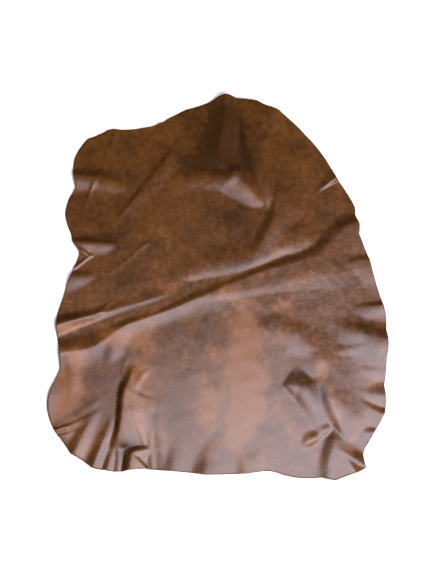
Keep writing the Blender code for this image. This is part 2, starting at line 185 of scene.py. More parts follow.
# Each fold is a row of stations along its crest, with the crest's height there and the widths of
# the flanks to its left and right, as one walks along it. All in millimetres.
FOLDS = (
    # name, left flank, right flank, stations of x, y, rise, left, right
    ("neck_ridge", "soft", "pinched", (
        (26, 590, 10, 60, 64),
        (24, 520, 10, 60, 64),
        (19, 460, 9.5, 60, 64),
        (9, 410, 9, 60, 66),
        (4, 380, 9, 60, 72),
        (8, 352, 9, 56, 80),
        (22, 330, 8.6, 44, 72),
        (38, 314, 6, 28, 44),
        (52, 300, 0, 12, 14),
    )),
    ("neck_side", "soft", "rolled", (
        (62, 590, 4, 90, 20),
        (66, 500, 5, 90, 22),
        (73, 450, 6, 90, 24),
        (78, 400, 7, 90, 28),
        (88, 355, 8.5, 90, 33),
        (102, 315, 9.5, 84, 37),
        (114, 280, 9, 70, 36),
        (122, 250, 7, 50, 30),
        (128, 222, 3.5, 26, 20),
        (132, 204, 0, 14, 12),
    )),
    ("neck_right", "soft", "soft", (
        (154, 560, 6, 44, 36),
        (148, 480, 4.6, 44, 36),
        (140, 424, 0, 20, 20),
    )),
    ("yoke_left", "soft", "soft", (
        (-136, 300, 0, 30, 40),
        (-80, 302, 3, 46, 60),
        (-45, 303, 4.4, 44, 64),
        (-15, 304, 5.6, 42, 64),
        (15, 305, 7.4, 38, 64),
        (40, 305, 7.6, 34, 64),
        (58, 305, 4.6, 28, 50),
        (76, 304, 0, 14, 14),
    )),
    ("shoulder", "soft", "rolled", (
        (138, 420, 0, 30, 14),
        (146, 350, 3, 80, 22),
        (150, 300, 5, 90, 24),
        (150, 258, 6.5, 90, 26),
        (142, 200, 7.5, 84, 28),
        (124, 152, 7.5, 70, 28),
        (105, 118, 5, 56, 28),
        (86, 94, 2.2, 30, 20),
        (76, 84, 0, 14, 12),
    )),
    ("main_swell", "soft", "shelf", (
        (-110, 32, 0, 40, 20),
        (-80, 46, 1.6, 50, 30),
        (-50, 56, 2.4, 54, 34),
        (0, 68, 2.8, 56, 36),
        (50, 79, 3, 56, 36),
        (100, 95, 3.4, 56, 33),
        (130, 116, 4, 56, 42),
        (155, 134, 4, 56, 50),
        (200, 152, 2.8, 50, 58),
        (232, 164, 1.2, 34, 42),
        (252, 172, 0, 20, 16),
    )),
    ("main_fold", "rolled", "long", (
        (-410, -174, 9, 48, 70),
        (-380, -166, 8.2, 46, 64),
        (-350, -158, 7.2, 43, 58),
        (-315, -152, 5.8, 43, 54),
        (-284, -143, 5.2, 42, 50),
        (-260, -128, 4.9, 36, 47),
        (-240, -111, 4.7, 27, 45),
        (-220, -96, 4.6, 20, 43),
        (-200, -85, 4.5, 17, 42),
        (-150, -67, 4, 15, 40),
        (-100, -47, 4, 17, 44),
        (-50, -24, 4, 20, 60),
        (0, -2, 4.2, 22, 84),
        (50, 20, 4.1, 19, 110),
        (100, 42, 4, 19, 130),
        (150, 59, 4.4, 24, 140),
        (200, 73, 4.9, 31, 160),
        (246, 94, 5.4, 38, 170),
        (284, 135, 6, 42, 176),
        (310, 158, 6.6, 41, 176),
        (344, 176, 7.4, 39, 176),
        (390, 193, 8.2, 37, 176),
    )),
    ("flank_fold", "rolled", "rolled", (
        (-410, -104, 11, 36, 34),
        (-375, -93, 9, 33, 32),
        (-350, -84, 8, 29, 30),
        (-325, -76, 7, 25, 26),
        (-300, -69, 6, 22, 22),
        (-275, -61, 4, 18, 20),
        (-250, -54, 2.2, 18, 18),
        (-225, -45, 1.6, 20, 16),
        (-200, -38, 1.4, 24, 15),
        (-160, -25, 1.3, 24, 14),
        (-130, -14, 0.8, 20, 12),
        (-105, -2, 0, 14, 10),
    )),
    ("flank_bend", "soft", "soft", (
        (-182, -90, 0, 24, 10),
        (-210, -98, 1.8, 36, 26),
        (-232, -120, 3, 44, 40),
        (-240, -148, 2.8, 44, 44),
        (-246, -182, 0, 16, 16),
    )),
    ("foreleg_upper", "rolled", "soft", (
        (-390, 306, 12, 32, 62),
        (-350, 303, 10, 30, 60),
        (-300, 298, 7, 26, 54),
        (-250, 287, 4, 22, 44),
        (-205, 272, 0, 14, 20),
    )),
    ("foreleg_lower", "rolled", "soft", (
        (-390, 124, 9, 20, 48),
        (-340, 122, 7.6, 18, 46),
        (-300, 121, 6, 17, 44),
        (-270, 120, 4.4, 16, 40),
        (-252, 120, 2, 13, 26),
        (-236, 122, 0, 10, 10),
    )),
    ("belly_nick", "soft", "soft", (
        (-390, 30, 6, 22, 60),
        (-345, 34, 5, 20, 54),
        (-312, 38, 2.5, 16, 40),
        (-285, 42, 0, 10, 12),
    )),
    ("right_nick", "rolled", "soft", (
        (240, 258, 0, 8, 6),
        (258, 271, 2, 18, 8),
        (282, 289, 4.5, 30, 10),
        (320, 316, 8, 44, 16),
    )),
    ("right_roll", "rolled", "soft", (
        (298, 62, 0, 14, 24),
        (322, 71, 3, 26, 60),
        (350, 74, 5, 27, 90),
        (410, 70, 8, 29, 110),
    )),
    ("right_flank", "rolled", "soft", (
        (318, -46, 0, 12, 14),
        (346, -43, 1.8, 14, 40),
        (400, -38, 3.8, 16, 50),
    )),
    ("right_fold", "rolled", "soft", (
        (270, -84, 0, 18, 12),
        (303, -98, 2.8, 38, 60),
        (345, -112, 6, 43, 90),
        (385, -124, 9, 42, 112),
        (425, -134, 11, 42, 112),
    )),
    ("right_haunch", "soft", "soft", (
        (322, -195, 0, 12, 14),
        (352, -198, 1.3, 22, 30),
        (420, -200, 3.6, 26, 40),
    )),
    ("right_hock", "soft", "soft", (
        (322, -244, 0, 12, 14),
        (348, -255, 2, 32, 30),
        (378, -260, 4.2, 42, 36),
        (410, -262, 5.6, 44, 36),
    )),
    ("right_tuck", "rolled", "soft", (
        (306, -261, 0, 10, 20),
        (326, -274, 1.2, 14, 40),
        (346, -288, 3, 18, 50),
        (370, -301, 4.8, 22, 60),
        (400, -309, 6.4, 24, 60),
    )),
    ("right_toe", "soft", "soft", (
        (310, -340, 0, 12, 16),
        (331, -344, 2.4, 22, 40),
        (390, -347, 6, 26, 40),
    )),
    ("hip_swell", "soft", "soft", (
        (78, -88, 0, 24, 30),
        (112, -94, 1.4, 44, 60),
        (150, -100, 2.2, 50, 76),
        (186, -112, 3, 46, 74),
        (208, -132, 3, 40, 60),
        (224, -160, 2.2, 32, 40),
        (234, -186, 1.2, 22, 30),
        (240, -206, 0, 12, 14),
    )),
    ("hip_knot", "soft", "soft", (
        (186, -374, 0, 14, 12),
        (202, -365, 3.2, 26, 14),
        (216, -357, 3.8, 27, 14),
        (229, -347, 2, 22, 14),
        (242, -340, 3.2, 21, 12),
        (253, -331, 2.2, 17, 12),
        (262, -322, 0, 10, 10),
    )),
    ("hip_heel", "soft", "rolled", (
        (262, -328, 0, 14, 12),
        (262, -344, 2.6, 44, 22),
        (260, -360, 5.2, 60, 30),
        (256, -380, 6.8, 70, 33),
        (251, -400, 6.8, 80, 34),
        (247, -420, 6.4, 86, 36),
        (246, -470, 6, 90, 38),
    )),
    ("hind_corner", "rolled", "soft", (
        (258, -372, 0, 10, 10),
        (272, -385, 4.4, 28, 18),
        (296, -401, 6.6, 30, 22),
        (319, -415, 8, 32, 28),
        (350, -434, 9.6, 34, 30),
    )),
    ("haunch_curl", "soft", "soft", (
        (-392, -176, 0, 20, 14),
        (-398, -215, 3.2, 60, 20),
        (-402, -255, 4.4, 66, 20),
        (-404, -290, 4.2, 66, 20),
        (-398, -330, 2, 50, 16),
        (-384, -356, 0, 14, 14),
    )),
    ("thigh_ridge", "soft", "rolled", (
        (-190, -186, 0, 14, 10),
        (-193, -206, 2.6, 34, 16),
        (-199, -228, 5, 60, 20),
        (-207, -248, 6.4, 78, 18),
        (-210, -278, 6.8, 92, 16),
        (-211, -306, 7, 96, 16),
        (-214, -332, 6.8, 96, 15),
        (-219, -352, 5.8, 80, 15),
        (-225, -370, 3, 40, 14),
        (-228, -386, 0, 14, 12),
    )),
    ("leg_tuck", "soft", "pinched", (
        (-146, -379, 0, 10, 10),
        (-162, -382, 4.5, 36, 18),
        (-176, -384, 7, 64, 20),
        (-186, -389, 8, 84, 21),
        (-189, -404, 8.5, 100, 21),
        (-192, -430, 8.5, 100, 22),
        (-197, -465, 8.5, 100, 22),
    )),
    ("fan_outer", "soft", "rolled", (
        (-258, -286, 0, 14, 10),
        (-280, -316, 1.6, 26, 20),
        (-293, -342, 2.6, 30, 24),
        (-303, -366, 3.4, 30, 26),
        (-313, -394, 4.4, 30, 26),
        (-327, -440, 6, 32, 28),
    )),
    ("fan_middle", "soft", "rolled", (
        (-231, -300, 0, 12, 10),
        (-238, -328, 1.4, 20, 18),
        (-246, -350, 2.2, 22, 20),
        (-254, -372, 3, 24, 22),
        (-262, -394, 3.8, 24, 22),
        (-274, -440, 5.5, 26, 24),
    )),
    ("fan_inner", "soft", "soft", (
        (-224, -368, 0, 12, 10),
        (-229, -390, 1.4, 16, 12),
        (-235, -410, 2.4, 20, 14),
        (-242, -440, 4, 22, 16),
    )),
    ("fan_tip", "soft", "soft", (
        (-222, -360, 0, 10, 8),
        (-216, -378, 1.2, 12, 12),
        (-214, -402, 1.5, 11, 12),
        (-216, -440, 1.8, 11, 12),
    )),
    ("rump_fold", "soft", "soft", (
        (-80, -352, 0, 20, 12),
        (-87, -378, 0.8, 40, 24),
        (-91, -402, 2, 46, 30),
        (-95, -425, 3.4, 46, 32),
        (-98, -450, 4.6, 46, 32),
    )),
    ("rump_middle", "soft", "soft", (
        (4, -346, 0, 24, 16),
        (-3, -372, 1, 60, 34),
        (-10, -394, 2.4, 66, 38),
        (-17, -416, 4, 66, 40),
        (-24, -450, 6.4, 66, 42),
    )),
    ("rump_right", "soft", "soft", (
        (60, -366, 0, 24, 16),
        (62, -390, 1.2, 46, 26),
        (66, -412, 2.4, 50, 32),
        (68, -460, 4.6, 50, 36),
    )),
    ("back_roll", "soft", "soft", (
        (-94, 410, 0, 20, 12),
        (-122, 356, 3.4, 50, 22),
        (-146, 318, 4, 50, 22),
        (-170, 280, 3, 50, 22),
        (-202, 234, 1.6, 34, 20),
        (-240, 180, 0, 14, 10),
    )),
    ("hip_east", "soft", "rolled", (
        (226, -96, 0, 40, 50),
        (232, -130, 2.4, 60, 60),
        (238, -165, 4.2, 80, 62),
        (243, -195, 5, 90, 56),
        (246, -222, 5.4, 92, 40),
        (250, -246, 5.8, 94, 32),
        (256, -270, 6.4, 96, 32),
        (266, -298, 7, 98, 32),
        (278, -335, 6, 92, 24),
        (288, -368, 0, 16, 12),
    )),
    ("hip_bump", "rolled", "soft", (
        (150, -230, 0, 18, 12),
        (163, -234, 3.4, 44, 20),
        (180, -237, 5.2, 52, 44),
        (199, -237, 5.2, 50, 90),
        (214, -233, 3, 40, 80),
        (228, -226, 0.8, 26, 40),
        (240, -216, 0, 12, 12),
    )),
    ("neck_facet", "soft", "creased", (
        (22, 338, 0, 20, 24),
        (34, 324, 7, 34, 50),
        (46, 310, 13, 40, 62),
        (60, 294, 12, 38, 58),
        (76, 274, 9.6, 34, 50),
        (92, 253, 6.6, 28, 38),
        (106, 236, 3.6, 20, 28),
        (118, 221, 0, 12, 12),
    )),
)

# Narrower creases and low steps that stay in the leather. They are added on top of the folds.
CREASES = (
    # name, left flank, right flank, stations of x, y, rise, left, right
    ("shoulder_line", "pinched", "pinched", (
        (-252, 470, 1.2, 20, 9),
        (-262, 420, 1.4, 22, 9),
        (-276, 370, 1.2, 20, 9),
        (-286, 328, 1.0, 18, 9),
        (-306, 278, 1.2, 18, 9),
        (-322, 226, 1.2, 18, 9),
        (-338, 160, 0, 12, 6),
    )),
    ("neck_flap", "soft", "pinched", (
        (-152, 470, 2.2, 26, 10),
        (-138, 440, 2.2, 26, 10),
        (-122, 412, 1.6, 22, 10),
        (-108, 394, 0, 10, 8),
    )),
    ("back_line", "pinched", "pinched", (
        (-128, 160, 0, 12, 10),
        (-160, 128, 0.7, 14, 12),
        (-190, 104, 0.9, 14, 12),
        (-206, 84, 0.9, 14, 12),
        (-232, 62, 0.7, 14, 12),
        (-262, 36, 0, 12, 8),
    )),
    ("back_line_upper", "pinched", "pinched", (
        (-170, 296, 0, 10, 8),
        (-196, 252, 1.1, 12, 9),
        (-226, 208, 1.1, 12, 9),
        (-250, 176, 0, 10, 8),
    )),
    ("notch_tuck", "soft", "pinched", (
        (-350, 104, 4, 16, 9),
        (-322, 95, 4, 16, 9),
        (-308, 88, 2.5, 14, 9),
        (-294, 88, 0, 10, 7),
    )),
    ("notch_line", "pinched", "pinched", (
        (-290, 92, 0, 9, 8),
        (-308, 82, 2.2, 10, 9),
        (-324, 68, 2.2, 10, 9),
        (-350, 46, 3, 12, 9),
    )),
    ("haunch_crease", "soft", "pinched", (
        (-266, -290, 0, 12, 8),
        (-284, -304, 0.6, 14, 8),
        (-306, -317, 1.2, 14, 9),
        (-330, -328, 2.6, 13, 9),
        (-370, -342, 5, 13, 10),
    )),
    ("haunch_line", "soft", "soft", (
        (-260, -266, 0, 12, 12),
        (-276, -280, 0.4, 16, 16),
        (-300, -296, 0.5, 16, 16),
        (-326, -310, 0.4, 14, 14),
        (-346, -318, 0, 10, 12),
    )),
    ("haunch_crease_low", "soft", "pinched", (
        (-310, -339, 0, 12, 8),
        (-336, -348, 2.6, 13, 9),
        (-366, -356, 4.6, 13, 10),
    )),
    ("haunch_dent", "soft", "soft", (
        (-332, -180, 0, 20, 12),
        (-329, -206, 1.2, 34, 20),
        (-326, -232, 1, 34, 18),
        (-322, -262, 0, 16, 12),
    )),
    ("thigh_top", "pinched", "pinched", (
        (-196, -140, 0, 10, 8),
        (-204, -164, 0.5, 12, 9),
        (-210, -186, 0.4, 12, 9),
        (-213, -204, 0, 8, 8),
    )),
    ("thigh_streak", "soft", "soft", (
        (-150, -196, 0, 10, 8),
        (-166, -208, 1, 14, 12),
        (-176, -224, 1, 14, 12),
        (-184, -248, 0, 10, 8),
    )),
    ("thigh_streak_low", "pinched", "soft", (
        (-196, -264, 0, 8, 8),
        (-186, -290, 0.7, 10, 9),
        (-172, -330, 0.8, 10, 9),
        (-158, -366, 0.8, 10, 9),
        (-148, -400, 0, 8, 8),
    )),
    ("edge_streak_upper", "soft", "soft", (
        (256, -152, 0, 14, 14),
        (290, -150, 0.9, 20, 20),
        (326, -148, 0.5, 20, 20),
        (356, -146, 0, 16, 16),
    )),
    ("flank_branch", "pinched", "soft", (
        (-284, -66, 0, 10, 10),
        (-272, -54, 1.6, 10, 14),
        (-258, -40, 1.6, 10, 14),
        (-242, -26, 0, 8, 10),
    )),
    ("rump_streak", "soft", "soft", (
        (-124, -262, 0, 10, 8),
        (-128, -300, 0.5, 20, 18),
        (-126, -345, 0.7, 20, 18),
        (-120, -385, 0.7, 18, 16),
        (-120, -440, 0.6, 18, 16),
    )),
    ("rump_streak_near", "soft", "soft", (
        (-146, -330, 0, 8, 8),
        (-146, -360, 0.8, 10, 10),
        (-142, -395, 0.8, 10, 10),
        (-138, -440, 0.8, 10, 10),
    )),
    ("belly_step", "soft", "creased", (
        (-80, -30, 0, 20, 10),
        (-40, -20, 0.5, 34, 14),
        (40, -8, 0.7, 44, 16),
        (120, 8, 0.8, 50, 18),
        (200, 24, 1.1, 66, 26),
        (262, 37, 1.4, 80, 34),
        (310, 46, 1.2, 80, 34),
        (360, 56, 0, 40, 20),
    )),
    ("heel_line", "soft", "soft", (
        (252, -393, 0, 8, 10),
        (274, -404, 0.8, 9, 14),
        (300, -416, 0.9, 9, 14),
        (330, -430, 1, 9, 14),
    )),
    ("hip_west", "soft", "rolled", (
        (190, -232, 0, 20, 14),
        (202, -250, 2, 90, 32),
        (211, -272, 2.7, 96, 30),
        (220, -300, 2.7, 96, 28),
        (229, -326, 2, 60, 22),
        (237, -346, 0, 14, 12),
    )),
)
JOIN = 3.0  # power of the sum by which crossing folds share their height
SETTLE = 0.4  # height that the leather's weight halves, in millimetres
STATION_STEPS = 8  # straight pieces of a crest from one station to the next

# Low swells all over, as in any skin that has dried flat: wavelength in millimetres and bearing
# in degrees. The bearing's number is also the wave's phase in radians.
SWELLS = ((131, 20), (103, 78), (83, 130), (67, 165), (53, 48), (43, 105))
SWELL_HEIGHT = 0.8


def along_crest(stations):
    """The stations joined by a smooth curve through them, as rows of x, y, rise, left, right."""
    rows = np.array(stations, float)
    rows = np.vstack([2 * rows[0] - rows[1], rows, 2 * rows[-1] - rows[-2]])
    share = np.linspace(0, 1, STATION_STEPS, endpoint=False)[:, None]
    curve = []
    for before, start, end, after in zip(rows, rows[1:], rows[2:], rows[3:]):
        way_in, way_out = (end - before) / 2, (after - start) / 2
        curve.append(
            start
            + share * way_in
            + share**2 * (3 * (end - start) - 2 * way_in - way_out)
            + share**3 * (2 * (start - end) + way_in + way_out)
        )
    return np.concatenate([*curve, rows[-2:-1]])


def fold_height(x, y, fold):
    """The height of one fold over the points x, y: the crest's rise at the nearest place of its
    curve, times the fall of the flank at that distance. Only the points near the fold are worked
    out. All in millimetres."""
    _, left_flank, right_flank, stations = fold
    flanks = FLANKS[left_flank], FLANKS[right_flank]
    curve = along_crest(stations)
    reach = curve[:, 3:].max()
    low, high = curve[:, :2].min(axis=0) - reach, curve[:, :2].max(axis=0) + reach
    near = (x > low[0]) & (x < high[0]) & (y > low[1]) & (y < high[1])
    px, py = x[near], y[near]
    nearest = np.full(px.shape, np.inf)
    height = np.zeros(px.shape)
    for here, there in zip(curve, curve[1:]):
        run = (there - here)[:2]
        share = np.clip(((px - here[0]) * run[0] + (py - here[1]) * run[1]) / (run @ run), 0, 1)
        rise, left, right = (here[k] + share * (there[k] - here[k]) for k in (2, 3, 4))
        off_x, off_y = px - here[0] - share * run[0], py - here[1] - share * run[1]
        distance = np.hypot(off_x, off_y)
        on_left = run[0] * off_y > run[1] * off_x
        across = np.clip(distance / np.where(on_left, left, right), 0, 1)
        fall = [(1 - across**crest) ** foot for crest, foot in flanks]
        here_height = np.clip(rise, 0, None) * np.where(on_left, *fall)
        height = np.where(distance < nearest, here_height, height)
        nearest = np.minimum(nearest, distance)
    result = np.zeros(x.shape)
    result[near] = height
    return result


def relief(x, y):
    """The height of the leather's lower face: the folds joined by the cube root of the sum of their
    cubes, plus the creases and the square of a sum of sine waves. A height h settles to
    h * h / (h + SETTLE), so that the low parts lie on the floor. All in millimetres."""
    joined = sum(fold_height(x, y, fold) ** JOIN for fold in FOLDS) ** (1 / JOIN)
    creases = sum(fold_height(x, y, crease) for crease in CREASES)
    waves = np.zeros(x.shape)
    for length, bearing in SWELLS:
        angle = math.radians(bearing)
        waves += np.sin(2 * np.pi * (x * math.cos(angle) + y * math.sin(angle)) / length + bearing)
    height = joined + creases + SWELL_HEIGHT * (0.5 + waves / (2 * len(SWELLS))) ** 2
    return height**2 / (height + SETTLE)


# ======================================================================== the hide
# One piece of full-grain leather, vegetable tanned and waxed brown. The grain side is up; the
# flesh side is paler suede and lies on the floor; the cut shows the raw middle of the leather.

THICKNESS = 1.4 * MM
GRID_STEPS = 268  # squares across the grain side
EDGE_ROWS = 3  # rows of points round the cut edge, between its two faces
EDGE_ROUNDING = 0.3 * MM  # how far the rounded cut stands out
GRAIN, FLESH, CUT = range(3)  # the sides, in the order of their materials


def skin_face():
    """The lower face of the leather as a square grid of points, and its unit normals."""
    x, y = plan_grid(edge_points(), GRID_STEPS)
    lower = np.stack([x, y, relief(x / MM, y / MM) * MM], axis=-1)
    normal = np.cross(np.gradient(lower, axis=1), np.gradient(lower, axis=0))
    return lower, normal / np.linalg.norm(normal, axis=-1, keepdims=True)


def grid_ring(index):
    """The border of a square grid of indices, once round."""
    return np.concatenate([index[0, :-1], index[:-1, -1], index[-1, :0:-1], index[:0:-1, 0]])


def grid_faces(index):
    """The quads between neighbouring indices of a square grid."""
    corners = index[:-1, :-1], index[:-1, 1:], index[1:, 1:], index[1:, :-1]
    return np.stack(corners, axis=-1).reshape(-1, 4)


def hide_shell():
    """Points and faces of the hide as a closed shell. The grain side is the whole grid moved along
    its normals by the thickness, and the flesh side every second point of the grid. Rows of a half
    ellipse join the two round the cut edge, and pentagons join the lowest row to the coarser flesh
    side. Each face comes with its side and each point with its sum of tan dye, dark dye and painted
    shade."""
    lower, normal = skin_face()
    upper = lower + normal * THICKNESS
    middle = (lower.min(axis=(0, 1)) + lower.max(axis=(0, 1)))[:2] / 2
    grain_index = np.arange(lower[..., 0].size).reshape(lower.shape[:2])
    ring = grid_ring(grain_index)
    rim_lower, rim_upper = lower.reshape(-1, 3)[ring], upper.reshape(-1, 3)[ring]
    way = np.roll(rim_lower, -1, axis=0) - np.roll(rim_lower, 1, axis=0)
    outwards = np.stack([way[:, 1], -way[:, 0], np.zeros(len(ring))], axis=-1)
    outwards /= np.linalg.norm(outwards, axis=-1, keepdims=True)
    rise = rim_upper - rim_lower
    rows = [
        rim_lower + rise * (1 - np.cos(turn)) / 2 + outwards * EDGE_ROUNDING * np.sin(turn)
        for turn in np.linspace(0, np.pi, EDGE_ROWS + 2)[1:-1]
    ]
    coarse = lower[::2, ::2]
    points = np.concatenate([upper.reshape(-1, 3), coarse.reshape(-1, 3), *rows])

    flesh_index = grain_index.size + np.arange(coarse[..., 0].size).reshape(coarse.shape[:2])
    row_start = grain_index.size + flesh_index.size
    loops = [row_start + k * len(ring) + np.arange(len(ring)) for k in range(EDGE_ROWS)] + [ring]
    cut = np.concatenate([
        np.stack([below, np.roll(below, -1), np.roll(above, -1), above], axis=-1)
        for below, above in zip(loops, loops[1:])
    ])
    border, first = grid_ring(flesh_index), loops[0]
    after = np.roll(first, -2)
    joining = [border, np.roll(border, -1), after[::2], first[1::2], first[::2]]
    joining = np.stack(joining, axis=-1)
    grain, flesh = grid_faces(grain_index), grid_faces(flesh_index)[:, ::-1]
    sides = np.repeat([GRAIN, FLESH, CUT], [len(grain), len(flesh), len(cut) + len(joining)])
    faces = [*grain.tolist(), *flesh.tolist(), *cut.tolist(), *joining.tolist()]
    # Each point's sum of tan dye, dark dye and painted shade.
    dye_and_shade = dye_and_shade_share(points[:, 0] / MM, points[:, 1] / MM)
    points[:, :2] -= middle
    return points, faces, sides, dye_and_shade, middle


# Soft ovals of tan (share above 0) and of dark (below 0). The tan ones are where the dye was rubbed
# back to tan, and some dark ones are dark dye. Many dark ones are painted shade on the shaded
# flanks of the folds, and the last two rows make the near half lighter and the far half darker.
# Places and sizes are in millimetres, and the bearing of the length is in degrees.
DYE_AND_SHADE_PATCHES = (
    # x, y, half length, half width, bearing, share
    (64, -58, 36, 26, 100, 0.70),
    (64, -130, 46, 34, 95, 0.95),
    (60, -205, 48, 36, 85, 1.00),
    (66, -282, 46, 38, 100, 1.00),
    (48, -345, 44, 30, 100, 0.65),
    (-12, -150, 30, 16, 100, 0.45),
    (-18, -270, 40, 20, 95, 0.55),
    (112, -215, 34, 14, 90, 0.40),
    (-180, -215, 34, 24, 70, 0.85),
    (-176, -275, 46, 24, 100, 0.45),
    (-164, -345, 42, 14, 105, 0.45),
    (-325, -240, 42, 34, 80, 0.72),
    (-345, -285, 30, 30, 90, 0.50),
    (-318, -172, 22, 20, 90, 0.55),
    # painted shade on the west flank of the flank bend
    (-262, -150, 26, 14, 60, -0.35),
    (-240, -118, 22, 34, 60, 0.70),
    (-180, -125, 30, 20, 20, 0.55),
    (-100, 5, 26, 16, 20, 0.65),
    (-160, -60, 60, 10, 20, 0.50),
    (235, -208, 26, 11, 85, 0.85),
    (262, -275, 50, 9, 100, 0.45),
    (298, -364, 26, 15, 60, 0.60),
    # painted shade on the west flank of the hip's eastern ridge
    (278, -351, 14, 9, 120, -0.60),
    (378, -144, 16, 12, 90, 0.40),
    (354, -226, 20, 10, 0, 0.30),
    (152, -44, 30, 14, 20, 0.60),
    (215, 40, 50, 16, 20, 0.30),
    (25, -12, 40, 12, 18, 0.45),
    (-50, 30, 34, 12, 20, 0.45),
    (152, 98, 34, 14, 32, 0.60),
    (205, 122, 34, 14, 25, 0.30),
    (285, 108, 40, 16, 30, 0.25),
    (-345, -98, 34, 11, 12, 0.70),
    (-300, -82, 26, 9, 16, 0.55),
    (-345, -158, 26, 12, 10, 0.50),
    (330, 60, 60, 20, 20, 0.15),
    (165, -420, 34, 20, 0, 0.35),
    (-120, 190, 60, 60, 80, 0.22),
    (235, 230, 60, 50, 60, 0.06),
    (-40, 285, 50, 14, 0, 0.30),
    (60, 268, 40, 12, -40, 0.45),
    (-35, -125, 24, 60, 80, -0.35),
    (-85, -300, 34, 110, 0, -0.25),
    (230, -300, 90, 60, 60, -0.10),
    (-250, -225, 26, 34, 90, -0.35),
    (-215, 25, 34, 26, 60, -0.38),
    # painted shade on the north flanks of the two foreleg folds (two rows)
    (-292, 321, 50, 11, -8, -0.50),
    (-300, 139, 46, 9, 0, -0.40),
    (-250, 130, 40, 50, 70, -0.35),
    (50, 192, 60, 30, -10, -0.45),
    (20, 110, 40, 22, 20, -0.25),
    # painted shade on the north flank of the hip swell, the hip bump and the hip's eastern dark
    # band (three rows)
    (125, -74, 26, 20, 20, -0.45),
    (185, -208, 30, 24, 0, -0.75),
    (238, -266, 18, 11, 110, -0.55),
    # painted shade on the west flanks of the thigh ridge and the leg tuck (four rows)
    (-219, -290, 62, 7, 88, -0.90),
    (-207, -228, 24, 8, 66, -0.80),
    (-184, -371, 22, 7, 0, -0.80),
    (-203, -402, 30, 6, 95, -0.80),
    # painted shade on the west flanks of the neck ridge and the neck side (four rows)
    (5, 430, 66, 110, 0, -0.75),
    (0, 455, 62, 17, 97, -0.50),
    (56, 430, 110, 13, 103, -0.45),
    (-28, 356, 50, 18, 6, -0.40),
    # painted shade on the north flanks of the right roll and the right flank (two rows)
    (338, 85, 27, 10, 0, -0.60),
    (368, -34, 28, 8, 4, -0.60),
    (240, 52, 110, 18, 12, -0.10),
    # darker along the right edge: partly dark dye, partly painted shade on the north flanks of its
    # rolls (two rows)
    (352, -130, 76, 34, 90, -0.35),
    (335, -92, 40, 15, 160, -0.40),
    # painted shade in the hip's western dark band
    (222, -300, 60, 26, 110, -0.25),
    # painted shade along the north flanks of the main fold and the flank fold (six rows)
    (150, 71, 60, 8, 20, -0.40),
    (236, 106, 40, 12, 32, -0.50),
    (298, 170, 42, 13, 42, -0.55),
    (-340, -126, 38, 9, 20, -0.50),
    (-335, -67, 38, 8, 18, -0.50),
    (-250, -92, 44, 7, 20, -0.35),
    # painted shade on the north flank of the yoke and the west flank of the neck side (two rows)
    (-20, 345, 70, 18, -10, -0.50),
    (90, 330, 24, 70, 0, -0.25),
    (-270, 235, 40, 60, 70, -0.20),
    # the near half lighter and the far half darker (two rows)
    (0, -300, 420, 230, 0, 0.22),
    (0, 330, 420, 260, 0, -0.22),
)


# The dye and the painted shade on the folds' shaded flanks both come from this sum.
def dye_and_shade_share(x, y):
    """The sum of share * exp(-r * r) over the patches, r being the distance from the patch's
    middle in half lengths and half widths."""
    total = np.zeros(x.shape)
    for middle_x, middle_y, half_length, half_width, bearing, share in DYE_AND_SHADE_PATCHES:
        angle = math.radians(bearing)
        along = (x - middle_x) * math.cos(angle) + (y - middle_y) * math.sin(angle)
        across = (y - middle_y) * math.cos(angle) - (x - middle_x) * math.sin(angle)
        total += share * np.exp(-((along / half_length) ** 2) - (across / half_width) ** 2)
    return total


# The point attribute that holds the sum of dye and painted shade.
DYE_AND_SHADE_NAME = "dye_and_painted_shade"


def hide_object():
    """The hide as one smooth-shaded mesh object with a material for each of its three sides and
    its dye and painted shade as a point attribute."""
    points, faces, sides, dye_and_shade, middle = hide_shell()
    mesh = bpy.data.meshes.new("hide_skin")
    mesh.from_pydata(points.tolist(), [], faces)
    for material in (grain_side(), flesh_side(), cut_edge()):
        mesh.materials.append(material)
    mesh.polygons.foreach_set("material_index", sides.astype(np.int32))
    dye = mesh.attributes.new(DYE_AND_SHADE_NAME, "FLOAT", "POINT")
    dye.data.foreach_set("value", dye_and_shade.astype(np.float32))
    mesh.shade_smooth()
    skin = bpy.data.objects.new("hide_skin", mesh)
    bpy.context.scene.collection.objects.link(skin)
    return skin, middle


def new_group(name, outputs):
    """An empty shader group: a position and a scale (waves or cells per metre) to its outputs."""
    group = bpy.data.node_groups.new(name, "ShaderNodeTree")
    group.interface.new_socket("Position", in_out="INPUT", socket_type="NodeSocketVector")
    group.interface.new_socket("Scale", in_out="INPUT", socket_type="NodeSocketFloat")
    for label in outputs:
        group.interface.new_socket(label, in_out="OUTPUT", socket_type="NodeSocketFloat")
    return group, group.nodes.new("NodeGroupInput"), group.nodes.new("NodeGroupOutput")


def fill(tree, socket, value):
    """Links a socket to an input, or sets the input to a number or colour."""
    if isinstance(value, bpy.types.NodeSocket):
        tree.links.new(value, socket)
    else:
        socket.default_value = value


def noise(tree, place, scale, detail, roughness, distortion=0.0):
    """A noise texture on the given position; a number or a socket sets its scale."""
    node = tree.nodes.new("ShaderNodeTexNoise")
    tree.links.new(place, node.inputs["Vector"])
    fill(tree, node.inputs["Scale"], scale)
    node.inputs["Detail"].default_value = detail
    node.inputs["Roughness"].default_value = roughness
    node.inputs["Distortion"].default_value = distortion
    return node.outputs["Fac"]


def math_node(tree, operation, *values):
    """A Math node whose inputs are numbers or sockets."""
    node = tree.nodes.new("ShaderNodeMath")
    node.operation = operation
    for socket, value in zip(node.inputs, values):
        fill(tree, socket, value)
    return node.outputs["Value"]


def between(tree, value, low, high):
    """0 where the value is under low, 1 where it is over high, and an even ramp between them."""
    node = tree.nodes.new("ShaderNodeMapRange")
    tree.links.new(value, node.inputs["Value"])
    node.inputs["From Min"].default_value = low
    node.inputs["From Max"].default_value = high
    return node.outputs["Result"]


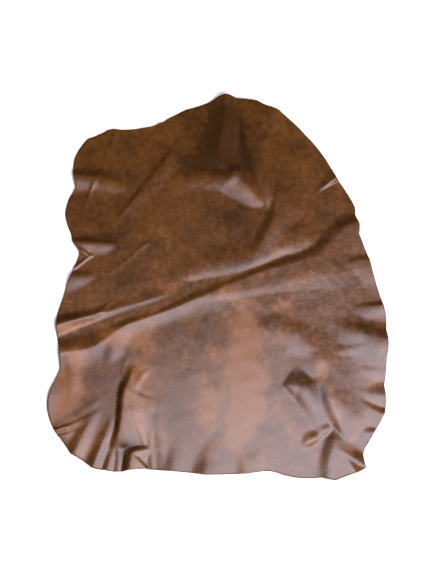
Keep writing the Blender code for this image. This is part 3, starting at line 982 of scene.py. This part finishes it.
# A Mix node has sockets for numbers and vectors before those for colours.
COLOUR_A, COLOUR_B, COLOUR_MIXED = 6, 7, 2


def mix_colour(tree, share, first, second):
    """A colour mix: the first where the share is 0, the second where it is 1."""
    node = tree.nodes.new("ShaderNodeMix")
    node.data_type = "RGBA"
    tree.links.new(share, node.inputs["Factor"])
    fill(tree, node.inputs[COLOUR_A], first)
    fill(tree, node.inputs[COLOUR_B], second)
    return node.outputs[COLOUR_MIXED]


BLOTCHES_PER_CLOUD = 4.3
CLOUD_RANGE = (0.32, 0.68)  # of the noise, spread out to 0 and 1
BLOTCH_RANGE = (0.35, 0.65)


def dye_clouds():
    """Where the dye took more or less: broad clouds, and finer blotches, both from 0 to 1."""
    group, given, result = new_group("dye_clouds", ["Clouds", "Blotches"])
    place, scale = given.outputs["Position"], given.outputs["Scale"]
    broad = noise(group, place, scale, detail=4, roughness=0.6, distortion=0.3)
    finer_scale = math_node(group, "MULTIPLY", scale, BLOTCHES_PER_CLOUD)
    finer = noise(group, place, finer_scale, detail=2, roughness=0.6)
    group.links.new(between(group, broad, *CLOUD_RANGE), result.inputs["Clouds"])
    group.links.new(between(group, finer, *BLOTCH_RANGE), result.inputs["Blotches"])
    return group


PEBBLE_SOFTNESS = 0.4
# The wrinkles and dents beside the pebbles: waves per metre, and height with a pebble's as 1.
WRINKLE_SCALE, WRINKLE_HEIGHT = 260.0, 1.2
DENT_SCALE, DENT_HEIGHT = 38.0, 6.0


def leather_pores():
    """The pebbled grain as a height: rounded cells, plus fine wrinkles and broad shallow dents."""
    group, given, result = new_group("leather_pores", ["Height"])
    place = given.outputs["Position"]
    cells = group.nodes.new("ShaderNodeTexVoronoi")
    cells.feature = "SMOOTH_F1"
    group.links.new(place, cells.inputs["Vector"])
    group.links.new(given.outputs["Scale"], cells.inputs["Scale"])
    cells.inputs["Smoothness"].default_value = PEBBLE_SOFTNESS
    pebble = math_node(group, "SUBTRACT", 1.0, cells.outputs["Distance"])
    wrinkle = noise(group, place, WRINKLE_SCALE, detail=4, roughness=0.65, distortion=0.6)
    dents = noise(group, place, DENT_SCALE, detail=3, roughness=0.55, distortion=0.4)
    height = math_node(group, "MULTIPLY_ADD", wrinkle, WRINKLE_HEIGHT, pebble)
    height = math_node(group, "MULTIPLY_ADD", dents, DENT_HEIGHT, height)
    group.links.new(height, result.inputs["Height"])
    return group


DYE_CLOUDS = dye_clouds()
LEATHER_PORES = leather_pores()


def use_group(tree, group, place, scale):
    """The outputs of a group placed in a material, on Object coordinates and at its own scale."""
    node = tree.nodes.new("ShaderNodeGroup")
    node.node_tree = group
    tree.links.new(place, node.inputs["Position"])
    node.inputs["Scale"].default_value = scale
    return node.outputs


def bare_material(name):
    """A new material: its node tree, its Principled shader and its Object coordinates."""
    material = bpy.data.materials.new(name)
    material.use_nodes = True
    tree = material.node_tree
    place = tree.nodes.new("ShaderNodeTexCoord").outputs["Object"]
    return material, tree, tree.nodes["Principled BSDF"], place


def bump(tree, shader, height, depth, strength):
    """A Bump node on the shader's normal; the depth is in metres."""
    node = tree.nodes.new("ShaderNodeBump")
    node.inputs["Distance"].default_value = depth
    node.inputs["Strength"].default_value = strength
    tree.links.new(height, node.inputs["Height"])
    tree.links.new(node.outputs["Normal"], shader.inputs["Normal"])


# The darkest colour: dark dye in the mottling, and painted shade where the dark patches lie on the
# folds' shaded flanks.
DARK_DYE_AND_SHADE = (0.038, 0.0130, 0.0016, 1.0)
BROWN_DYE = (0.098, 0.0345, 0.0060, 1.0)
TAN_DYE = (0.192, 0.0730, 0.0225, 1.0)
GRAIN_CLOUDS = 16.0  # clouds of dye per metre
CLOUD_SHARE = 0.66  # spread of the clouds about the patches' share, half of it each way
BLOTCH_SHARE = 0.26  # and of the blotches
DARK_TO_BROWN = (-0.7, 0.1)  # the sums over which one dye gives way to the next
BROWN_TO_TAN = (0.15, 0.65)
WAX_ROUGHNESS = 0.225
WAX_VARIES = 0.07  # rougher by this where a blotch is full
WAX_IOR = 2.0  # above real wax, which is near 1.44, for a stronger sheen
GRAIN_PORES = 700.0  # pebbles per metre
PORE_DEPTH, PORE_STRENGTH = 0.12 * MM, 0.5


def grain_side():
    """Waxed grain with a satin finish: brown dye with tan and dark patches whose borders
    break up into clouds and blotches, a sheen that varies with them, and pebbled pores. Many of
    the dark patches are painted shade on the shaded flanks of the folds, and the patches make the
    near half lighter and the far half darker."""
    material, tree, shader, place = bare_material("waxed_grain")
    dye = use_group(tree, DYE_CLOUDS, place, GRAIN_CLOUDS)
    patches = tree.nodes.new("ShaderNodeAttribute")
    patches.attribute_name = DYE_AND_SHADE_NAME
    clouds = math_node(tree, "MULTIPLY_ADD", dye["Clouds"], CLOUD_SHARE, -CLOUD_SHARE / 2)
    blotches = math_node(tree, "MULTIPLY_ADD", dye["Blotches"], BLOTCH_SHARE, -BLOTCH_SHARE / 2)
    mottling = math_node(tree, "ADD", clouds, blotches)
    broken = math_node(tree, "ADD", mottling, patches.outputs["Fac"])
    # Low sums go to the darkest colour, which on the folds' shaded flanks is painted shade.
    dark = mix_colour(tree, between(tree, broken, *DARK_TO_BROWN), DARK_DYE_AND_SHADE, BROWN_DYE)
    colour = mix_colour(tree, between(tree, broken, *BROWN_TO_TAN), dark, TAN_DYE)
    tree.links.new(colour, shader.inputs["Base Color"])
    sheen = math_node(tree, "MULTIPLY_ADD", dye["Blotches"], WAX_VARIES, WAX_ROUGHNESS)
    tree.links.new(sheen, shader.inputs["Roughness"])
    shader.inputs["IOR"].default_value = WAX_IOR
    pores = use_group(tree, LEATHER_PORES, place, GRAIN_PORES)
    bump(tree, shader, pores["Height"], PORE_DEPTH, PORE_STRENGTH)
    return material


FLESH_BROWN = (0.21, 0.115, 0.06, 1.0)
FLESH_PALE = (0.30, 0.18, 0.10, 1.0)
FLESH_ROUGHNESS = 0.95
FLESH_CLOUDS = 20.0  # per metre
FLESH_NAP = 1500.0  # tufts per metre
NAP_DEPTH, NAP_STRENGTH = 0.2 * MM, 0.8


def flesh_side():
    """The suede of the flesh side: paler, quite matt, with a short nap."""
    material, tree, shader, place = bare_material("flesh_suede")
    dye = use_group(tree, DYE_CLOUDS, place, FLESH_CLOUDS)
    colour = mix_colour(tree, dye["Clouds"], FLESH_BROWN, FLESH_PALE)
    tree.links.new(colour, shader.inputs["Base Color"])
    shader.inputs["Roughness"].default_value = FLESH_ROUGHNESS
    nap = use_group(tree, LEATHER_PORES, place, FLESH_NAP)
    bump(tree, shader, nap["Height"], NAP_DEPTH, NAP_STRENGTH)
    return material


CUT_BROWN = (0.085, 0.036, 0.014, 1.0)
CUT_RAW = (0.20, 0.10, 0.045, 1.0)
CUT_ROUGHNESS = 0.8
CUT_CLOUDS = 60.0  # per metre
CUT_FIBRES = 2500.0  # per metre
FIBRE_DEPTH, FIBRE_STRENGTH = 0.1 * MM, 0.8


def cut_edge():
    """The cut through the leather: fibres between the dyed faces, a little darker with wax."""
    material, tree, shader, place = bare_material("cut_edge")
    dye = use_group(tree, DYE_CLOUDS, place, CUT_CLOUDS)
    colour = mix_colour(tree, dye["Blotches"], CUT_BROWN, CUT_RAW)
    tree.links.new(colour, shader.inputs["Base Color"])
    shader.inputs["Roughness"].default_value = CUT_ROUGHNESS
    fibres = use_group(tree, LEATHER_PORES, place, CUT_FIBRES)
    bump(tree, shader, fibres["Height"], FIBRE_DEPTH, FIBRE_STRENGTH)
    return material


skin, middle = hide_object()
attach(skin, "root")
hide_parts("hide")

# ======================================================================== floor, light and camera
# A pale floor that runs to the horizon, a soft lamp overhead that the near half of the hide
# mirrors, a low soft light from the front right, and a dim even light all round.

FLOOR_RADIUS = 15.0
FLOOR_RINGS = 12
FLOOR_SIDES = 96
FLOOR_WHITE = (0.9, 0.9, 0.9, 1.0)
FLOOR_ROUGHNESS = 0.9


def floor_surface():
    """A flat disc: rings whose radius grows as the square of their number, joined by quads."""
    radius = FLOOR_RADIUS * (np.arange(1, FLOOR_RINGS + 1) / FLOOR_RINGS) ** 2
    around = np.linspace(0, 2 * np.pi, FLOOR_SIDES, endpoint=False)
    x, y = np.outer(radius, np.cos(around)), np.outer(radius, np.sin(around))
    points = np.stack([x, y, np.zeros(x.shape)], axis=-1)
    index = np.arange(x.size).reshape(x.shape)
    beside = np.roll(index, -1, axis=1)
    faces = np.stack([index[:-1], index[1:], beside[1:], beside[:-1]], axis=-1).reshape(-1, 4)
    mesh = bpy.data.meshes.new("floor")
    mesh.from_pydata(points.reshape(-1, 3).tolist(), [], [*faces.tolist(), index[0].tolist()])
    return mesh


def floor_paint():
    """Matt white."""
    material, _, shader, _ = bare_material("floor_paint")
    shader.inputs["Base Color"].default_value = FLOOR_WHITE
    shader.inputs["Roughness"].default_value = FLOOR_ROUGHNESS
    return material


floor = bpy.data.objects.new("floor", floor_surface())
floor.data.materials.append(floor_paint())
# The wax would mirror the white floor as ragged bright lines beside the neck ridge.
floor.visible_glossy = False
bpy.context.scene.collection.objects.link(floor)


def aim(holder, place, target):
    """Puts an object at a place and turns its -Z axis to the target, with its +Y axis up."""
    way = Vector(target) - Vector(place)
    holder.location = place
    holder.rotation_euler = way.to_track_quat("-Z", "Y").to_euler()


LAMP_HEIGHT = 2.2
LAMP_COLOUR = (1.02, 0.97, 1.12)
# The overhead lamp is a wide panel, brighter at its front right, with faint panels at its sides.
LAMP_PANELS = (
    # name, x, y, width, depth, power
    ("soft_lamp", 0.475, -0.095, 1.85, 1.07, 13.0),
    ("soft_lamp_front", 0.85, -0.20, 1.4, 0.98, 19.5),
    ("soft_lamp_corner", 0.95, -0.45, 0.9, 0.6, 11.8),
    ("soft_lamp_side", 0.80, 0.40, 0.9, 0.26, 0.2),
    ("soft_lamp_left", -0.76, 0.02, 0.5, 0.66, 0.6),
)


def panel(name, x, y, width, depth, power):
    """One rectangular panel that faces straight down and isn't seen itself."""
    light = bpy.data.lights.new(name, "AREA")
    light.shape = "RECTANGLE"
    light.size, light.size_y = width, depth
    light.energy = power
    light.color = LAMP_COLOUR
    lamp = bpy.data.objects.new(name, light)
    lamp.visible_camera = False
    bpy.context.scene.collection.objects.link(lamp)
    aim(lamp, (x, y, LAMP_HEIGHT), (x, y, 0.0))


for row in LAMP_PANELS:
    panel(*row)

SUN_WAY = (0.50, -0.75, 0.40)  # from the middle towards the light
SUN_STRENGTH = 7.6
SUN_SPREAD = math.radians(34)

sun_data = bpy.data.lights.new("front_light", "SUN")
sun_data.energy = SUN_STRENGTH
sun_data.angle = SUN_SPREAD
sun = bpy.data.objects.new("front_light", sun_data)
# It stands in for light from many sides, so the wax doesn't mirror it as one bright disc.
sun.visible_glossy = False
# With it on, stray bright specks appear on the wax when it is seen from low down.
sun_data.cycles.use_multiple_importance_sampling = False
bpy.context.scene.collection.objects.link(sun)
aim(sun, SUN_WAY, (0.0, 0.0, 0.0))

ROOM_LIGHT = 0.02  # what falls on the things in the room
ROOM_SEEN = 0.85  # what the camera sees behind them
ROOM_WHITE = (1.0, 1.0, 1.0, 1.0)


def room():
    """The light from the room: dim on the things in it, pale where the camera sees past them."""
    world = bpy.data.worlds.new("studio")
    world.use_nodes = True
    tree = world.node_tree
    seen = tree.nodes.new("ShaderNodeLightPath").outputs["Is Camera Ray"]
    strength = math_node(tree, "MULTIPLY_ADD", seen, ROOM_SEEN - ROOM_LIGHT, ROOM_LIGHT)
    background = tree.nodes["Background"]
    background.inputs["Color"].default_value = ROOM_WHITE
    tree.links.new(strength, background.inputs["Strength"])
    return world


bpy.context.scene.world = room()
bpy.context.scene.view_settings.view_transform = "Standard"

CAMERA_ELEVATION = math.radians(67)
CAMERA_DISTANCE = 2.18
CAMERA_LENS = 58  # millimetres, on a sensor as high as the next number
CAMERA_SENSOR = 36
TARGET_HEIGHT = 10 * MM

camera_data = bpy.data.cameras.new("camera")
camera_data.lens = CAMERA_LENS
camera_data.sensor_fit = "VERTICAL"
camera_data.sensor_height = CAMERA_SENSOR
camera = bpy.data.objects.new("camera", camera_data)
bpy.context.scene.collection.objects.link(camera)
target = (-middle[0], -middle[1], TARGET_HEIGHT)
place = (
    target[0],
    target[1] - CAMERA_DISTANCE * math.cos(CAMERA_ELEVATION),
    target[2] + CAMERA_DISTANCE * math.sin(CAMERA_ELEVATION),
)
aim(camera, place, target)
bpy.context.scene.camera = camera
